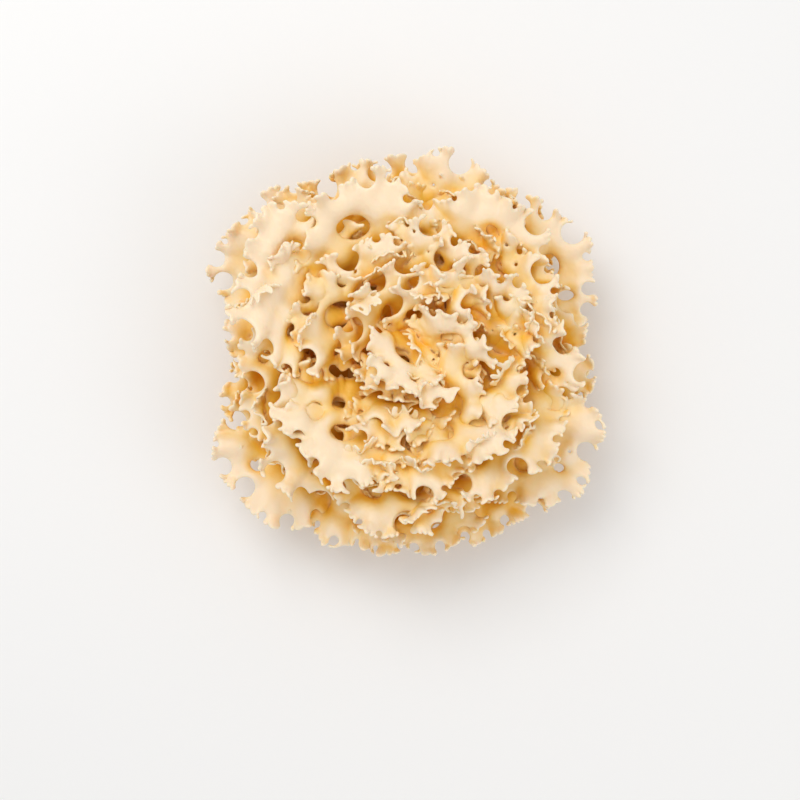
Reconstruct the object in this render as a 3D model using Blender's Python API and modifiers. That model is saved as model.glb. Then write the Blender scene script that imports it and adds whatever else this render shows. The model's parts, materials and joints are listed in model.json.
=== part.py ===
"""Cauliflower mushroom: one grown head of flat, lobed fronds on a short stem cut flat.

Each frond is a fan with round bays bitten into its margin and windows in its face. It is drawn flat,
waved, bent outward and cupped, and its root is sunk in the stem. All of them are joined in one solid.
The script works in millimetres and turns to metres where a mesh is made.
"""
import math
import random
from collections import namedtuple

import bpy
import bmesh
import numpy as np
from mathutils import Vector
from mathutils.bvhtree import BVHTree
from mathutils.geometry import delaunay_2d_cdt
from mathutils.kdtree import KDTree

MM = 0.001
SEED = 23

# Driving sizes of the head, in mm. Seen from above it is a rounded square.
HALF_WIDTH = 75.0
HALF_LENGTH = 79.0
CORNER_POWER = 3.6
RIM_REACH = 78.0
BLADE = 1.6

# Stem and the hidden swelling that the fronds grow from: radius and height, from the top down
STEM_PROFILE = [(0.0, 36.0), (13.0, 35.0), (23.0, 31.0), (28.5, 24.0), (27.0, 15.0), (24.0, 8.0),
                (25.5, 3.0), (25.0, 0.0), (0.0, 0.0)]
STEM_SIDES = 28

# Rings of fronds, from the bottom up. Angles in degrees, lengths in mm: rise of the frond at its root and
# at its tip, the root's distance from the axis and its height, and how far the tip reaches from the axis
# or, where that is None, the frond's own length. Lead is the mean turn of its heading away from straight
# outward and stray that turn's spread; spread is that of its roll about its own length.
Ring = namedtuple("Ring", "name count turn rise_root rise_tip out height reach length lead stray spread")
RINGS = [
    Ring("skirt", 10, 10, 20, -6, 22.0, 9.5, 62.0, None, 0, 0, 20),
    Ring("rim", 15, 0, 38, -6, 23.0, 13.5, 78.0, None, 0, 0, 22),
    Ring("shoulder", 13, 12, 54, 0, 19.0, 21.0, 65.0, None, 0, 26, 30),
    Ring("crown", 11, 5, 62, 4, 13.0, 27.0, 50.0, None, 0, 45, 32),
    Ring("top", 8, 20, 68, 6, 13.0, 30.0, None, 42.0, 110, 70, 32),
    Ring("apex", 4, 40, 72, 14, 12.0, 33.0, None, 40.0, 150, 60, 30),
]

# Azimuth and reach of each frond of the rim, which sets the outline seen from above
RIM = [(4, 75.0), (34, 87.0), (54, 80.0), (72, 83.0), (99, 81.0), (123, 83.0), (144, 88.0), (174, 73.0),
       (198, 77.0), (219, 88.0), (246, 81.0), (276, 78.0), (302, 81.0), (324, 86.0), (348, 72.0)]

# How far the fronds stray from their ring: share of the spacing, degrees, share of size, mm of height
SPACING_SPREAD = 0.34
ROOT_SPREAD = 8.0
TIP_SPREAD = 12.0
SIZE_SPREAD = (0.88, 1.1)
HEIGHT_SPREAD = 3.0
LEAST_BEND = 0.12

# Form of a frond laid flat: shares of its length, and the swing of its broad lobes as shares of its radius
FAN_POWER = 2.3
FAN_SIZE = 0.93
CENTRE_SHARE = 0.50
WIDTH_SHARE = (0.44, 0.58)
BEHIND_SHARE = (0.22, 0.32)
LOBE_SWING = (0.065, 0.05)

# Bays along its margin and windows in its face: radii and the widths of flesh between them, in mm
LAST_BAY = math.radians(142)
SMALL_SHARE = 0.55
SMALL_BAY = (1.3, 2.4)
BIG_BAY = (2.6, 4.8)
BAY_DEPTH = (0.45, 0.90)
LOBE_WIDTH = (3.8, 7.8)
WINDOW_COUNTS = (3, 4, 4, 5)
GREAT_WINDOW = (4.0, 6.4)
SMALL_WINDOW = (1.8, 4.2)
WINDOW_FRAME = 2.9
USUAL_LENGTH = 42.0

# Waves of its margin and the dip of its face at a window: height, spacing and reach inward, in mm
RUFFLE_HEIGHT = (1.8, 3.4)
RUFFLE_SPACING = (19.0, 27.0)
RUFFLE_REACH = 8.0
WINDOW_DIP = 2.3
DIP_REACH = 2.3
CUP = (-0.010, 0.016)

# How much of that form this solid keeps, in mm: bays under this radius are left out, wider bays get
# a flat bottom of two points, lobes under this width a single tip, and windows over this radius are cut;
# the last two are the length under which an edge is taken out and how often that is done
SMALLEST_BAY = 1.5
WIDE_BAY = 3.0
SMALLEST_LOBE = 3.4
WIDE_WINDOW = 3.4
WINDOW_SIDES = 5
NECK = 5.0
NECK_SHARE = 0.12
ROOT_DEPTH = 2.0
SHEET_PITCH = 13.0
TRIANGLES = 11500
KEPT_NEAR = 1.5
SHORTEST_EDGE = 0.01
CLEARING_PASSES = 2


def clear_scene():
    """Remove every object, so that the script gives the same result in any file."""
    for item in list(bpy.data.objects):
        bpy.data.objects.remove(item, do_unlink=True)


def head_reach(azimuth):
    """The rounded square's reach at this azimuth, as a share of the rim's reach."""
    across = abs(math.cos(azimuth)) / HALF_WIDTH
    along = abs(math.sin(azimuth)) / HALF_LENGTH
    return (across ** CORNER_POWER + along ** CORNER_POWER) ** (-1.0 / CORNER_POWER) / RIM_REACH


def place_frond(ring, i, rng):
    """Root, directions, bend and length of frond i of the ring."""
    stray = rng.uniform(-SPACING_SPREAD, SPACING_SPREAD)
    azimuth = math.radians(ring.turn + 360.0 * (i + stray) / ring.count)
    rise_root = math.radians(ring.rise_root + rng.uniform(-ROOT_SPREAD, ROOT_SPREAD))
    rise_tip = math.radians(ring.rise_tip + rng.uniform(-TIP_SPREAD, TIP_SPREAD))
    size = rng.uniform(*SIZE_SPREAD)
    if ring.name == "rim":
        azimuth = math.radians(RIM[i][0])
    bend = max(rise_root - rise_tip, LEAST_BEND)
    if ring.length is None:
        reach = RIM[i][1] if ring.name == "rim" else ring.reach * head_reach(azimuth) * size
        length = (reach - ring.out) * bend / (math.sin(rise_root) - math.sin(rise_root - bend))
    else:
        length = ring.length * size
    root = np.array([ring.out * math.cos(azimuth), ring.out * math.sin(azimuth),
                     ring.height + rng.uniform(-HEIGHT_SPREAD, HEIGHT_SPREAD)])
    heading = azimuth + math.radians(ring.lead + rng.uniform(-ring.stray, ring.stray))
    level = np.array([math.cos(heading), math.sin(heading), 0.0])
    sideways = np.array([-math.sin(heading), math.cos(heading), 0.0])
    along = math.cos(rise_root) * level + math.sin(rise_root) * np.array([0.0, 0.0, 1.0])
    roll = math.radians(rng.uniform(-ring.spread, ring.spread))
    across = math.cos(roll) * sideways + math.sin(roll) * np.cross(along, sideways)
    return dict(name=f"{ring.name}_{i}", root=root, along=along, across=across,
                normal=np.cross(along, across), bend=bend, length=length, seed=rng.randrange(10 ** 6))


def place_fronds():
    """Every frond of the head, ring by ring."""
    rng = random.Random(SEED)
    return [place_frond(ring, i, rng) for ring in RINGS for i in range(ring.count)]


class Frond:
    """One frond laid flat: x across, y along from its root, in mm."""

    def __init__(self, length, seed):
        self.rng = rng = random.Random(seed)
        self.length = length
        self.centre = CENTRE_SHARE * length
        self.half_width = length * rng.uniform(*WIDTH_SHARE)
        self.behind = length * rng.uniform(*BEHIND_SHARE)
        self.lobing = [(rng.choice((5, 6, 7)), LOBE_SWING[0], rng.uniform(0, 6.28)),
                       (rng.choice((3, 4)), LOBE_SWING[1], rng.uniform(0, 6.28))]
        self.angle = np.linspace(-math.pi, math.pi, 1441)
        self.radius = self.fan_radius(self.angle)
        across = self.radius * np.sin(self.angle)
        along = self.radius * np.cos(self.angle)
        self.arc = np.concatenate([[0.0], np.cumsum(np.hypot(np.diff(across), np.diff(along)))])
        self.arc -= np.interp(0.0, self.angle, self.arc)
        self.bays = self.cut_bays()
        self.windows = self.cut_windows()
        self.ruffle = (rng.uniform(*RUFFLE_HEIGHT), 6.28 / rng.uniform(*RUFFLE_SPACING),
                       rng.uniform(0, 6.28))
        self.cup = rng.uniform(*CUP)

    def fan_radius(self, angle):
        """Distance of the fan's margin from its centre; angle 0 points to the tip."""
        ahead = np.where(np.cos(angle) > 0, self.length - self.centre, self.behind)
        along = np.abs(np.cos(angle) / ahead) ** FAN_POWER
        across = np.abs(np.sin(angle) / self.half_width) ** FAN_POWER
        plain = (along + across) ** (-1 / FAN_POWER)
        lobed = sum(size * np.cos(number * angle + turn) for number, size, turn in self.lobing)
        return FAN_SIZE * plain * (1 + lobed * np.clip(1.6 - np.abs(angle) / 1.8, 0, 1))

    def margin_point(self, arc, depth):
        """Point on the margin at this arc length, moved inward by the depth."""
        angle = float(np.interp(arc, self.arc, self.angle))
        nearby = np.array([angle - 0.02, angle, angle + 0.02])
        radius = self.fan_radius(nearby)
        x = radius * np.sin(nearby)
        y = self.centre + radius * np.cos(nearby)
        size = math.hypot(x[2] - x[0], y[2] - y[0])
        inward = np.array([y[2] - y[0], x[0] - x[2]]) / size
        if inward[0] * x[1] + inward[1] * (y[1] - self.centre) > 0:
            inward = -inward
        return x[1] + inward[0] * depth, y[1] + inward[1] * depth

    def cut_bays(self):
        """Round bays along the margin: x, y, radius."""
        rng = self.rng
        last = float(np.interp(LAST_BAY, self.angle, self.arc))
        arc = float(np.interp(-LAST_BAY, self.angle, self.arc)) + rng.uniform(2, 6)
        bays = []
        while arc < last - 2:
            small = rng.random() < SMALL_SHARE
            radius = rng.uniform(*SMALL_BAY) if small else rng.uniform(*BIG_BAY)
            depth = rng.uniform(*BAY_DEPTH) * radius
            arc += radius
            x, y = self.margin_point(arc, depth)
            bays.append((x, y, radius))
            arc += radius + rng.uniform(*LOBE_WIDTH)
        return bays

    def cut_windows(self):
        """Round windows in the face, clear of the bays and of each other: x, y, radius."""
        rng = self.rng
        windows = []
        for window in range(rng.choice(WINDOW_COUNTS)):
            sizes = GREAT_WINDOW if window == 0 else SMALL_WINDOW
            for _ in range(30):
                angle = rng.uniform(-2.2, 2.2)
                out = rng.uniform(0.05, 0.66) * float(np.interp(angle, self.angle, self.radius))
                x = out * math.sin(angle)
                y = self.centre + out * math.cos(angle)
                radius = rng.uniform(*sizes) * math.sqrt(self.length / USUAL_LENGTH)
                clear = all(math.hypot(x - hole[0], y - hole[1]) > radius + hole[2] + WINDOW_FRAME
                            for hole in windows + self.bays)
                if y > 0.3 * self.length and clear:
                    windows.append((x, y, radius))
                    break
        return windows

    def lobe_points(self):
        """Angle and distance of the lobe tips and bay bottoms round the fan, in order."""
        points = []
        for x, y, radius in self.bays:
            if radius > SMALLEST_BAY:
                angle = math.atan2(x, y - self.centre)
                out = math.hypot(x, y - self.centre)
                spread = (0.0,) if radius < WIDE_BAY else (-0.5 * radius / out, 0.5 * radius / out)
                points += [(angle + turn, out - 0.9 * radius) for turn in spread]
                for side in (-1, 1):
                    mouth = angle + side * (radius + 0.9) / out
                    points.append((mouth, float(np.interp(mouth, self.angle, self.radius))))
        return sorted(points)

    def is_tip(self, point):
        """True for a lobe's tip on the fan's margin, false for the bottom of a bay."""
        return point[1] > 0.97 * np.interp(point[0], self.angle, self.radius)

    def outline(self):
        """Lobe tips and bay bottoms, with narrow lobes drawn to one tip, then the corners of the root."""
        points = self.lobe_points()
        merged = points[:1]
        for point in points[1:]:
            last = merged[-1]
            gap = (point[0] - last[0]) * 0.5 * (point[1] + last[1])
            if gap < SMALLEST_LOBE and self.is_tip(point) and self.is_tip(last):
                merged[-1] = (0.5 * (point[0] + last[0]), 0.5 * (point[1] + last[1]))
            else:
                merged.append(point)
        corners = [(out * math.sin(angle), self.centre + out * math.cos(angle)) for angle, out in merged]
        neck = NECK_SHARE * self.length
        return corners + [(NECK, neck), (NECK, -ROOT_DEPTH), (-NECK, -ROOT_DEPTH), (-NECK, neck)]

    def height(self, x, y):
        """How far the waved blade stands above its flat plan."""
        angle = math.atan2(x, y - self.centre)
        inside = max(float(np.interp(angle, self.angle, self.radius)) - math.hypot(x, y - self.centre), 0.0)
        arc = float(np.interp(angle, self.angle, self.arc))
        size, pace, turn = self.ruffle
        rise = size * math.exp(-inside / RUFFLE_REACH) * math.cos(pace * arc + turn)
        rise *= min(max(y / (0.42 * self.length) - 0.15, 0.0), 1.0)
        for window_x, window_y, radius in self.windows:
            off = max(math.hypot(x - window_x, y - window_y) - radius, 0.0)
            rise -= WINDOW_DIP * math.exp(-off / DIP_REACH)
        return rise


def inside_polygon(x, y, corners):
    """True where the point lies inside the closed outline."""
    inside = False
    for (ax, ay), (bx, by) in zip(corners, corners[1:] + corners[:1]):
        if (ay > y) != (by > y) and x < ax + (y - ay) * (bx - ax) / (by - ay):
            inside = not inside
    return inside


def cut_outlines(frond):
    """The outline of the flat plan and those of its wider windows."""
    windows = []
    for x, y, radius in frond.windows:
        if radius > WIDE_WINDOW:
            turns = [2 * math.pi * k / WINDOW_SIDES for k in range(WINDOW_SIDES)]
            windows.append([(x + radius * math.cos(turn), y + radius * math.sin(turn)) for turn in turns])
    return [(float(x), float(y)) for x, y in frond.outline()], windows


def flat_blade(frond):
    """Points and triangles of the frond's flat plan, with its wider windows cut out."""
    outline, windows = cut_outlines(frond)
    points = []
    edges = []
    for loop in [outline] + windows:
        first = len(points)
        points += loop
        edges += [(first + k, first + (k + 1) % len(loop)) for k in range(len(loop))]

    def on_blade(x, y):
        return inside_polygon(x, y, outline) and not any(inside_polygon(x, y, loop) for loop in windows)

    for row in range(int(frond.length / SHEET_PITCH) + 1):
        for column in range(-3, 4):
            x = (column + 0.5 * (row % 2)) * SHEET_PITCH
            y = (row + 0.5) * SHEET_PITCH * math.sqrt(0.75)
            far = all(math.hypot(x - px, y - py) > 0.45 * SHEET_PITCH for px, py in points)
            if far and on_blade(x, y):
                points.append((x, y))
    result = delaunay_2d_cdt([Vector(point) for point in points], edges, [], 1, 1e-6)
    flat = [(vertex.x, vertex.y) for vertex in result[0]]
    faces = []
    for face in result[2]:
        if on_blade(sum(flat[k][0] for k in face) / 3, sum(flat[k][1] for k in face) / 3):
            faces.append(tuple(face))
    return flat, faces


def blade_point(place, frond, x, y):
    """Carry a point of the flat plan to its place on the bent and cupped frond."""
    rise = frond.height(x, y) + (1 - math.cos(frond.cup * x)) / frond.cup
    turn = place["bend"] * y / place["length"]
    arm = place["length"] / place["bend"]
    side = math.sin(frond.cup * x) / frond.cup
    ahead = (arm + rise) * math.sin(turn)
    up = (arm + rise) * math.cos(turn) - arm
    return place["root"] + side * place["across"] + ahead * place["along"] + up * place["normal"]


def make_frond(place, material, collection):
    """One frond: an open sheet of triangles given its thickness by Solidify."""
    frond = Frond(place["length"], place["seed"])
    flat, faces = flat_blade(frond)
    bm = bmesh.new()
    vertices = [bm.verts.new(Vector(blade_point(place, frond, x, y)) * MM) for x, y in flat]
    for face in faces:
        bm.faces.new([vertices[k] for k in face])
    loose = [vertex for vertex in bm.verts if not vertex.link_faces]
    bmesh.ops.delete(bm, geom=loose, context="VERTS")
    bmesh.ops.recalc_face_normals(bm, faces=bm.faces)
    mesh = bpy.data.meshes.new(place["name"])
    bm.to_mesh(mesh)
    bm.free()
    blade = bpy.data.objects.new(place["name"], mesh)
    collection.objects.link(blade)
    mesh.materials.append(material)
    thick = blade.modifiers.new("Thickness", "SOLIDIFY")
    thick.thickness = BLADE * MM
    thick.offset = 0.0
    thick.use_even_offset = False


def make_stem(material, collection):
    """The stem, cut flat at its base, with the swelling above it, turned from one profile."""
    mesh = bpy.data.meshes.new("cauliflower_mushroom")
    points = [(radius * MM, 0.0, height * MM) for radius, height in STEM_PROFILE]
    mesh.from_pydata(points, [(k, k + 1) for k in range(len(points) - 1)], [])
    stem = bpy.data.objects.new("cauliflower_mushroom", mesh)
    collection.objects.link(stem)
    mesh.materials.append(material)
    turned = stem.modifiers.new("Turned", "SCREW")
    turned.steps = STEM_SIDES
    turned.render_steps = STEM_SIDES
    turned.use_merge_vertices = True
    turned.merge_threshold = 0.01 * MM
    return stem


def join_head(stem, blades):
    """Join the fronds to the stem in one Boolean union, apply it and remove the loose fronds."""
    join = stem.modifiers.new("Grown together", "BOOLEAN")
    join.operation = "UNION"
    join.operand_type = "COLLECTION"
    join.collection = blades
    join.solver = "MANIFOLD"
    graph = bpy.context.evaluated_depsgraph_get()
    mesh = bpy.data.meshes.new_from_object(stem.evaluated_get(graph))
    stem.modifiers.clear()
    stem.data = mesh
    for blade in list(blades.objects):
        bpy.data.objects.remove(blade, do_unlink=True)
    bpy.data.collections.remove(blades)


def keep_one_body(bm):
    """Fill the hollows that joining has sealed and drop loose scraps: only the largest surface stays."""
    unseen = set(bm.verts)
    bodies = []
    while unseen:
        body = [unseen.pop()]
        for vertex in body:
            for edge in vertex.link_edges:
                other = edge.other_vert(vertex)
                if other in unseen:
                    unseen.remove(other)
                    body.append(other)
        bodies.append(body)
    bodies.sort(key=len)
    for body in bodies[:-1]:
        bmesh.ops.delete(bm, geom=body, context="VERTS")


def shared_diagonals(bm):
    """Pairs of corners joined by an edge of more than two faces, once every face is split into triangles."""
    corners = list(bm.verts)
    trial = bm.copy()
    trial.verts.index_update()
    bmesh.ops.triangulate(trial, faces=trial.faces)
    shared = [edge for edge in trial.edges if len(edge.link_faces) != 2]
    pairs = [[corners[vertex.index] for vertex in edge.verts] for edge in shared]
    trial.free()
    return pairs


def split_into_triangles(bm):
    """Triangles with two to each edge: where faces would share a diagonal, a corner is added on it."""
    pairs = shared_diagonals(bm)
    while pairs:
        for ends in pairs:
            edge = bm.edges.get(ends)
            if edge is None:
                sharing = [face for face in ends[0].link_faces if ends[1] in face.verts]
                bmesh.ops.triangulate(bm, faces=sharing[:1])
                edge = bm.edges.get(ends)
            if edge is not None:
                _, middle = bmesh.utils.edge_split(edge, ends[0], 0.5)
                for face in list(middle.link_faces):
                    across = [corner for corner in face.verts if corner not in (middle, *ends)]
                    if len(across) == 1:
                        bmesh.utils.face_split(face, middle, across[0])
        pairs = shared_diagonals(bm)
    bmesh.ops.triangulate(bm, faces=bm.faces)


def crossing_corners(mesh):
    """Corners of the faces that cut through each other."""
    faces = [tuple(face.vertices) for face in mesh.polygons]
    tree = BVHTree.FromPolygons([vertex.co for vertex in mesh.vertices], faces)
    found = set()
    for first, second in tree.overlap(tree):
        if not set(faces[first]) & set(faces[second]):
            found.update(faces[first])
    return [mesh.vertices[k].co.copy() for k in found]


def thin_out(head):
    """Merge the small slivers left by joining; where a merge makes blades cross, its corners are kept."""
    full = head.data
    corners = KDTree(len(full.vertices))
    for vertex in full.vertices:
        corners.insert(vertex.co, vertex.index)
    corners.balance()
    free = head.vertex_groups.new(name="free to merge")
    free.add(range(len(full.vertices)), 1.0, "REPLACE")
    crossing = True
    while crossing:
        merge = head.modifiers.new("Fewer slivers", "DECIMATE")
        merge.ratio = TRIANGLES / len(full.polygons)
        merge.vertex_group = free.name
        graph = bpy.context.evaluated_depsgraph_get()
        thin = bpy.data.meshes.new_from_object(head.evaluated_get(graph))
        head.modifiers.clear()
        crossing = crossing_corners(thin)
        for place in crossing:
            near = [index for _, index, _ in corners.find_range(place, KEPT_NEAR * MM)]
            free.add(near, 0.0, "REPLACE")
    head.data = thin
    head.vertex_groups.clear()


def tidy_head(head):
    """One closed body of well-formed triangles."""
    bm = bmesh.new()
    bm.from_mesh(head.data)
    keep_one_body(bm)
    split_into_triangles(bm)
    bm.to_mesh(head.data)
    thin_out(head)
    bm.clear()
    bm.from_mesh(head.data)
    for _ in range(CLEARING_PASSES):
        bmesh.ops.dissolve_degenerate(bm, dist=SHORTEST_EDGE * MM, edges=bm.edges)
        bmesh.ops.triangulate(bm, faces=bm.faces)
    bm.to_mesh(head.data)
    bm.free()


def flesh_material():
    """Waxy ivory flesh."""
    material = bpy.data.materials.new("ivory flesh")
    material.use_nodes = True
    shader = material.node_tree.nodes["Principled BSDF"]
    shader.inputs["Base Color"].default_value = (0.90, 0.76, 0.53, 1.0)
    shader.inputs["Roughness"].default_value = 0.45
    shader.inputs["Metallic"].default_value = 0.0
    return material


def main():
    clear_scene()
    model = bpy.data.collections.new("Cauliflower mushroom")
    blades = bpy.data.collections.new("Fronds")
    bpy.context.scene.collection.children.link(model)
    bpy.context.scene.collection.children.link(blades)
    material = flesh_material()
    stem = make_stem(material, model)
    for place in place_fronds():
        make_frond(place, material, blades)
    join_head(stem, blades)
    tidy_head(stem)


main()
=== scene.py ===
# %% [markdown]
# ## A cauliflower mushroom
# The real thing is one grown head: a short stem that branches into a mass of flat, lobed fronds. Their faces
# are smooth and waxy, their margins are scalloped like lace, and round windows open where fronds have met.
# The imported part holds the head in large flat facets. This lesson regrows the same fronds finely, from the
# same named sizes and the same random draws, so that each fine frond lies where its plain one does.

import json
import math
import random
from collections import namedtuple
from types import SimpleNamespace

import bmesh
import bpy
import numpy as np
from mathutils import Matrix, Vector
from mathutils.kdtree import KDTree

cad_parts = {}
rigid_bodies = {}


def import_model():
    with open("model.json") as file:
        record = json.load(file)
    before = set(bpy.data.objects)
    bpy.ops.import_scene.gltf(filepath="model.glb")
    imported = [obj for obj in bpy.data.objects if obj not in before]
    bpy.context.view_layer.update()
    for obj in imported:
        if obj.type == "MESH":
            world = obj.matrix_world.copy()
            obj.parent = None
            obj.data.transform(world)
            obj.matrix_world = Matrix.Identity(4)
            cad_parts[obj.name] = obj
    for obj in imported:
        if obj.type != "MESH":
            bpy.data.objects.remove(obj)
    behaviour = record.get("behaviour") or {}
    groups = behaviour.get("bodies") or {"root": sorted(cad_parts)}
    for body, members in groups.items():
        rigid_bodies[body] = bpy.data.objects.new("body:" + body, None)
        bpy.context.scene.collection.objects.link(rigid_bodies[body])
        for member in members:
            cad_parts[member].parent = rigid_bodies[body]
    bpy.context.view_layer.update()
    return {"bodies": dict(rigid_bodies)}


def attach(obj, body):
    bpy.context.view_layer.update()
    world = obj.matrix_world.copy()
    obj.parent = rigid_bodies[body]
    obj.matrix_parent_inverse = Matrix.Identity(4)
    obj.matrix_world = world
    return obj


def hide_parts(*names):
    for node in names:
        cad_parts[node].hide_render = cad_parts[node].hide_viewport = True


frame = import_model()
NODE = "cauliflower_mushroom"
MM = 0.001
SEED = 23

# %% [markdown]
# ## Where the fronds grow
# A head has no plan, yet it has a habit: low fronds lie out flat, higher ones stand up and curl outward.
# Rings of fronds catch this habit in a few numbers each, and seeded random draws keep any two fronds from
# matching. Placing 61 fronds by hand would be the other way, and slow to change. The rings' angles are in
# degrees. All lengths are in millimetres, up to the studio.

# %% Rings of fronds, from the skirt up to the apex
HALF_WIDTH = 75.0
HALF_LENGTH = 79.0
CORNER_POWER = 3.6
RIM_REACH = 78.0
Ring = namedtuple("Ring", "name count turn rise_root rise_tip out height reach length lead stray spread")
RINGS = [
    Ring("skirt", 10, 10, 20, -6, 22.0, 9.5, 62.0, None, 0, 0, 20),
    Ring("rim", 15, 0, 38, -6, 23.0, 13.5, 78.0, None, 0, 0, 22),
    Ring("shoulder", 13, 12, 54, 0, 19.0, 21.0, 65.0, None, 0, 26, 30),
    Ring("crown", 11, 5, 62, 4, 13.0, 27.0, 50.0, None, 0, 45, 32),
    Ring("top", 8, 20, 68, 6, 13.0, 30.0, None, 42.0, 110, 70, 32),
    Ring("apex", 4, 40, 72, 14, 12.0, 33.0, None, 40.0, 150, 60, 30),
]
RIM = [(4, 75.0), (34, 87.0), (54, 80.0), (72, 83.0), (99, 81.0), (123, 83.0), (144, 88.0), (174, 73.0),
       (198, 77.0), (219, 88.0), (246, 81.0), (276, 78.0), (302, 81.0), (324, 86.0), (348, 72.0)]
SPACING_SPREAD = 0.34
ROOT_SPREAD = 8.0
TIP_SPREAD = 12.0
SIZE_SPREAD = (0.88, 1.1)
HEIGHT_SPREAD = 3.0
LEAST_BEND = 0.12


def head_reach(azimuth):
    across = abs(math.cos(azimuth)) / HALF_WIDTH
    along = abs(math.sin(azimuth)) / HALF_LENGTH
    return (across ** CORNER_POWER + along ** CORNER_POWER) ** (-1.0 / CORNER_POWER) / RIM_REACH


def frond_place(name, root, along, across, bend, length, seed):
    return SimpleNamespace(name=name, root=root, along=along, across=across, normal=np.cross(along, across),
                           bend=bend, length=length, seed=seed)


def place_frond(ring, i, rng):
    stray = rng.uniform(-SPACING_SPREAD, SPACING_SPREAD)
    azimuth = math.radians(ring.turn + 360.0 * (i + stray) / ring.count)
    rise_root = math.radians(ring.rise_root + rng.uniform(-ROOT_SPREAD, ROOT_SPREAD))
    rise_tip = math.radians(ring.rise_tip + rng.uniform(-TIP_SPREAD, TIP_SPREAD))
    size = rng.uniform(*SIZE_SPREAD)
    if ring.name == "rim":
        azimuth = math.radians(RIM[i][0])
    bend = max(rise_root - rise_tip, LEAST_BEND)
    if ring.length is None:
        reach = RIM[i][1] if ring.name == "rim" else ring.reach * head_reach(azimuth) * size
        length = (reach - ring.out) * bend / (math.sin(rise_root) - math.sin(rise_root - bend))
    else:
        length = ring.length * size
    root = np.array([ring.out * math.cos(azimuth), ring.out * math.sin(azimuth),
                     ring.height + rng.uniform(-HEIGHT_SPREAD, HEIGHT_SPREAD)])
    heading = azimuth + math.radians(ring.lead + rng.uniform(-ring.stray, ring.stray))
    level = np.array([math.cos(heading), math.sin(heading), 0.0])
    sideways = np.array([-math.sin(heading), math.cos(heading), 0.0])
    along = math.cos(rise_root) * level + math.sin(rise_root) * np.array([0.0, 0.0, 1.0])
    roll = math.radians(rng.uniform(-ring.spread, ring.spread))
    across = math.cos(roll) * sideways + math.sin(roll) * np.cross(along, sideways)
    return frond_place(f"{ring.name}_{i}", root, along, across, bend, length, rng.randrange(10 ** 6))


place_draws = random.Random(SEED)
places = [place_frond(ring, i, place_draws) for ring in RINGS for i in range(ring.count)]
print("fronds placed:", len(places))

# %% [markdown]
# ## The fan of one frond
# Each frond is drawn flat first, because holes and lobes are easy to think about on paper. Its plain outline
# is a fan: a radius for every angle round a centre, swollen by a few broad lobes. Round bays, small and
# large, bite into that margin. A few round windows open in the face, clear of the bays and of each other.

# %% The fan's margin
FAN_POWER = 2.3
FAN_SIZE = 0.93
LOBES_HELD = 1.6
LOBES_WIDE = 1.8
LEAST_ANGLE = 0.02


def fan_radius(frond, angle):
    ahead = np.where(np.cos(angle) > 0, frond.length - frond.centre, frond.behind)
    along = np.abs(np.cos(angle) / ahead) ** FAN_POWER
    plain = along + np.abs(np.sin(angle) / frond.half_width) ** FAN_POWER
    lobed = sum(size * np.cos(number * angle + turn) for number, size, turn in frond.lobing)
    held = np.clip(LOBES_HELD - np.abs(angle) / LOBES_WIDE, 0, 1)
    return FAN_SIZE * plain ** (-1 / FAN_POWER) * (1 + lobed * held)


def margin_point(frond, arc, depth):
    angle = float(np.interp(arc, frond.arc, frond.angle))
    nearby = np.array([angle - LEAST_ANGLE, angle, angle + LEAST_ANGLE])
    radius = fan_radius(frond, nearby)
    x = radius * np.sin(nearby)
    y = frond.centre + radius * np.cos(nearby)
    inward = np.array([y[2] - y[0], x[0] - x[2]]) / math.hypot(x[2] - x[0], y[2] - y[0])
    if inward[0] * x[1] + inward[1] * (y[1] - frond.centre) > 0:
        inward = -inward
    return x[1] + inward[0] * depth, y[1] + inward[1] * depth


# %% Bays along the margin and windows in the face
Margin = namedtuple("Margin", "ends bay_depth lobe_width")
FROND_MARGIN = Margin((2.0, 6.0), (0.45, 0.90), (3.8, 7.8))
CREST_MARGIN = Margin((1.0, 3.0), (0.3, 0.8), (2.6, 5.2))
LAST_BAY = math.radians(142)
SMALL_SHARE = 0.55
SMALL_BAY = (1.3, 2.4)
BIG_BAY = (2.6, 4.8)
CREST_BAY = (0.7, 1.5)
WINDOW_COUNTS = (3, 4, 4, 5)
GREAT_WINDOW = (4.0, 6.4)
SMALL_WINDOW = (1.8, 4.2)
WINDOW_FRAME = 2.9
WINDOW_START = 0.3
WINDOW_TRIES = 30
USUAL_LENGTH = 42.0
Spots = namedtuple("Spots", "widest out")
WINDOW_SPOTS = Spots(2.2, (0.05, 0.66))


def face_spot(frond, rng, spots):
    angle = rng.uniform(-spots.widest, spots.widest)
    out = rng.uniform(*spots.out) * float(np.interp(angle, frond.angle, frond.radius))
    return out * math.sin(angle), frond.centre + out * math.cos(angle)


def bay_radius(frond, rng):
    if frond.crest:
        return rng.uniform(*CREST_BAY)
    return rng.uniform(*SMALL_BAY) if rng.random() < SMALL_SHARE else rng.uniform(*BIG_BAY)


def cut_bays(frond, rng):
    margin = CREST_MARGIN if frond.crest else FROND_MARGIN
    last = float(np.interp(LAST_BAY, frond.angle, frond.arc)) - margin.ends[0]
    arc = float(np.interp(-LAST_BAY, frond.angle, frond.arc)) + rng.uniform(*margin.ends)
    bays = []
    while arc < last:
        radius = bay_radius(frond, rng)
        depth = rng.uniform(*margin.bay_depth) * radius
        arc += radius
        bays.append((*margin_point(frond, arc, depth), radius))
        arc += radius + rng.uniform(*margin.lobe_width)
    return bays


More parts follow.
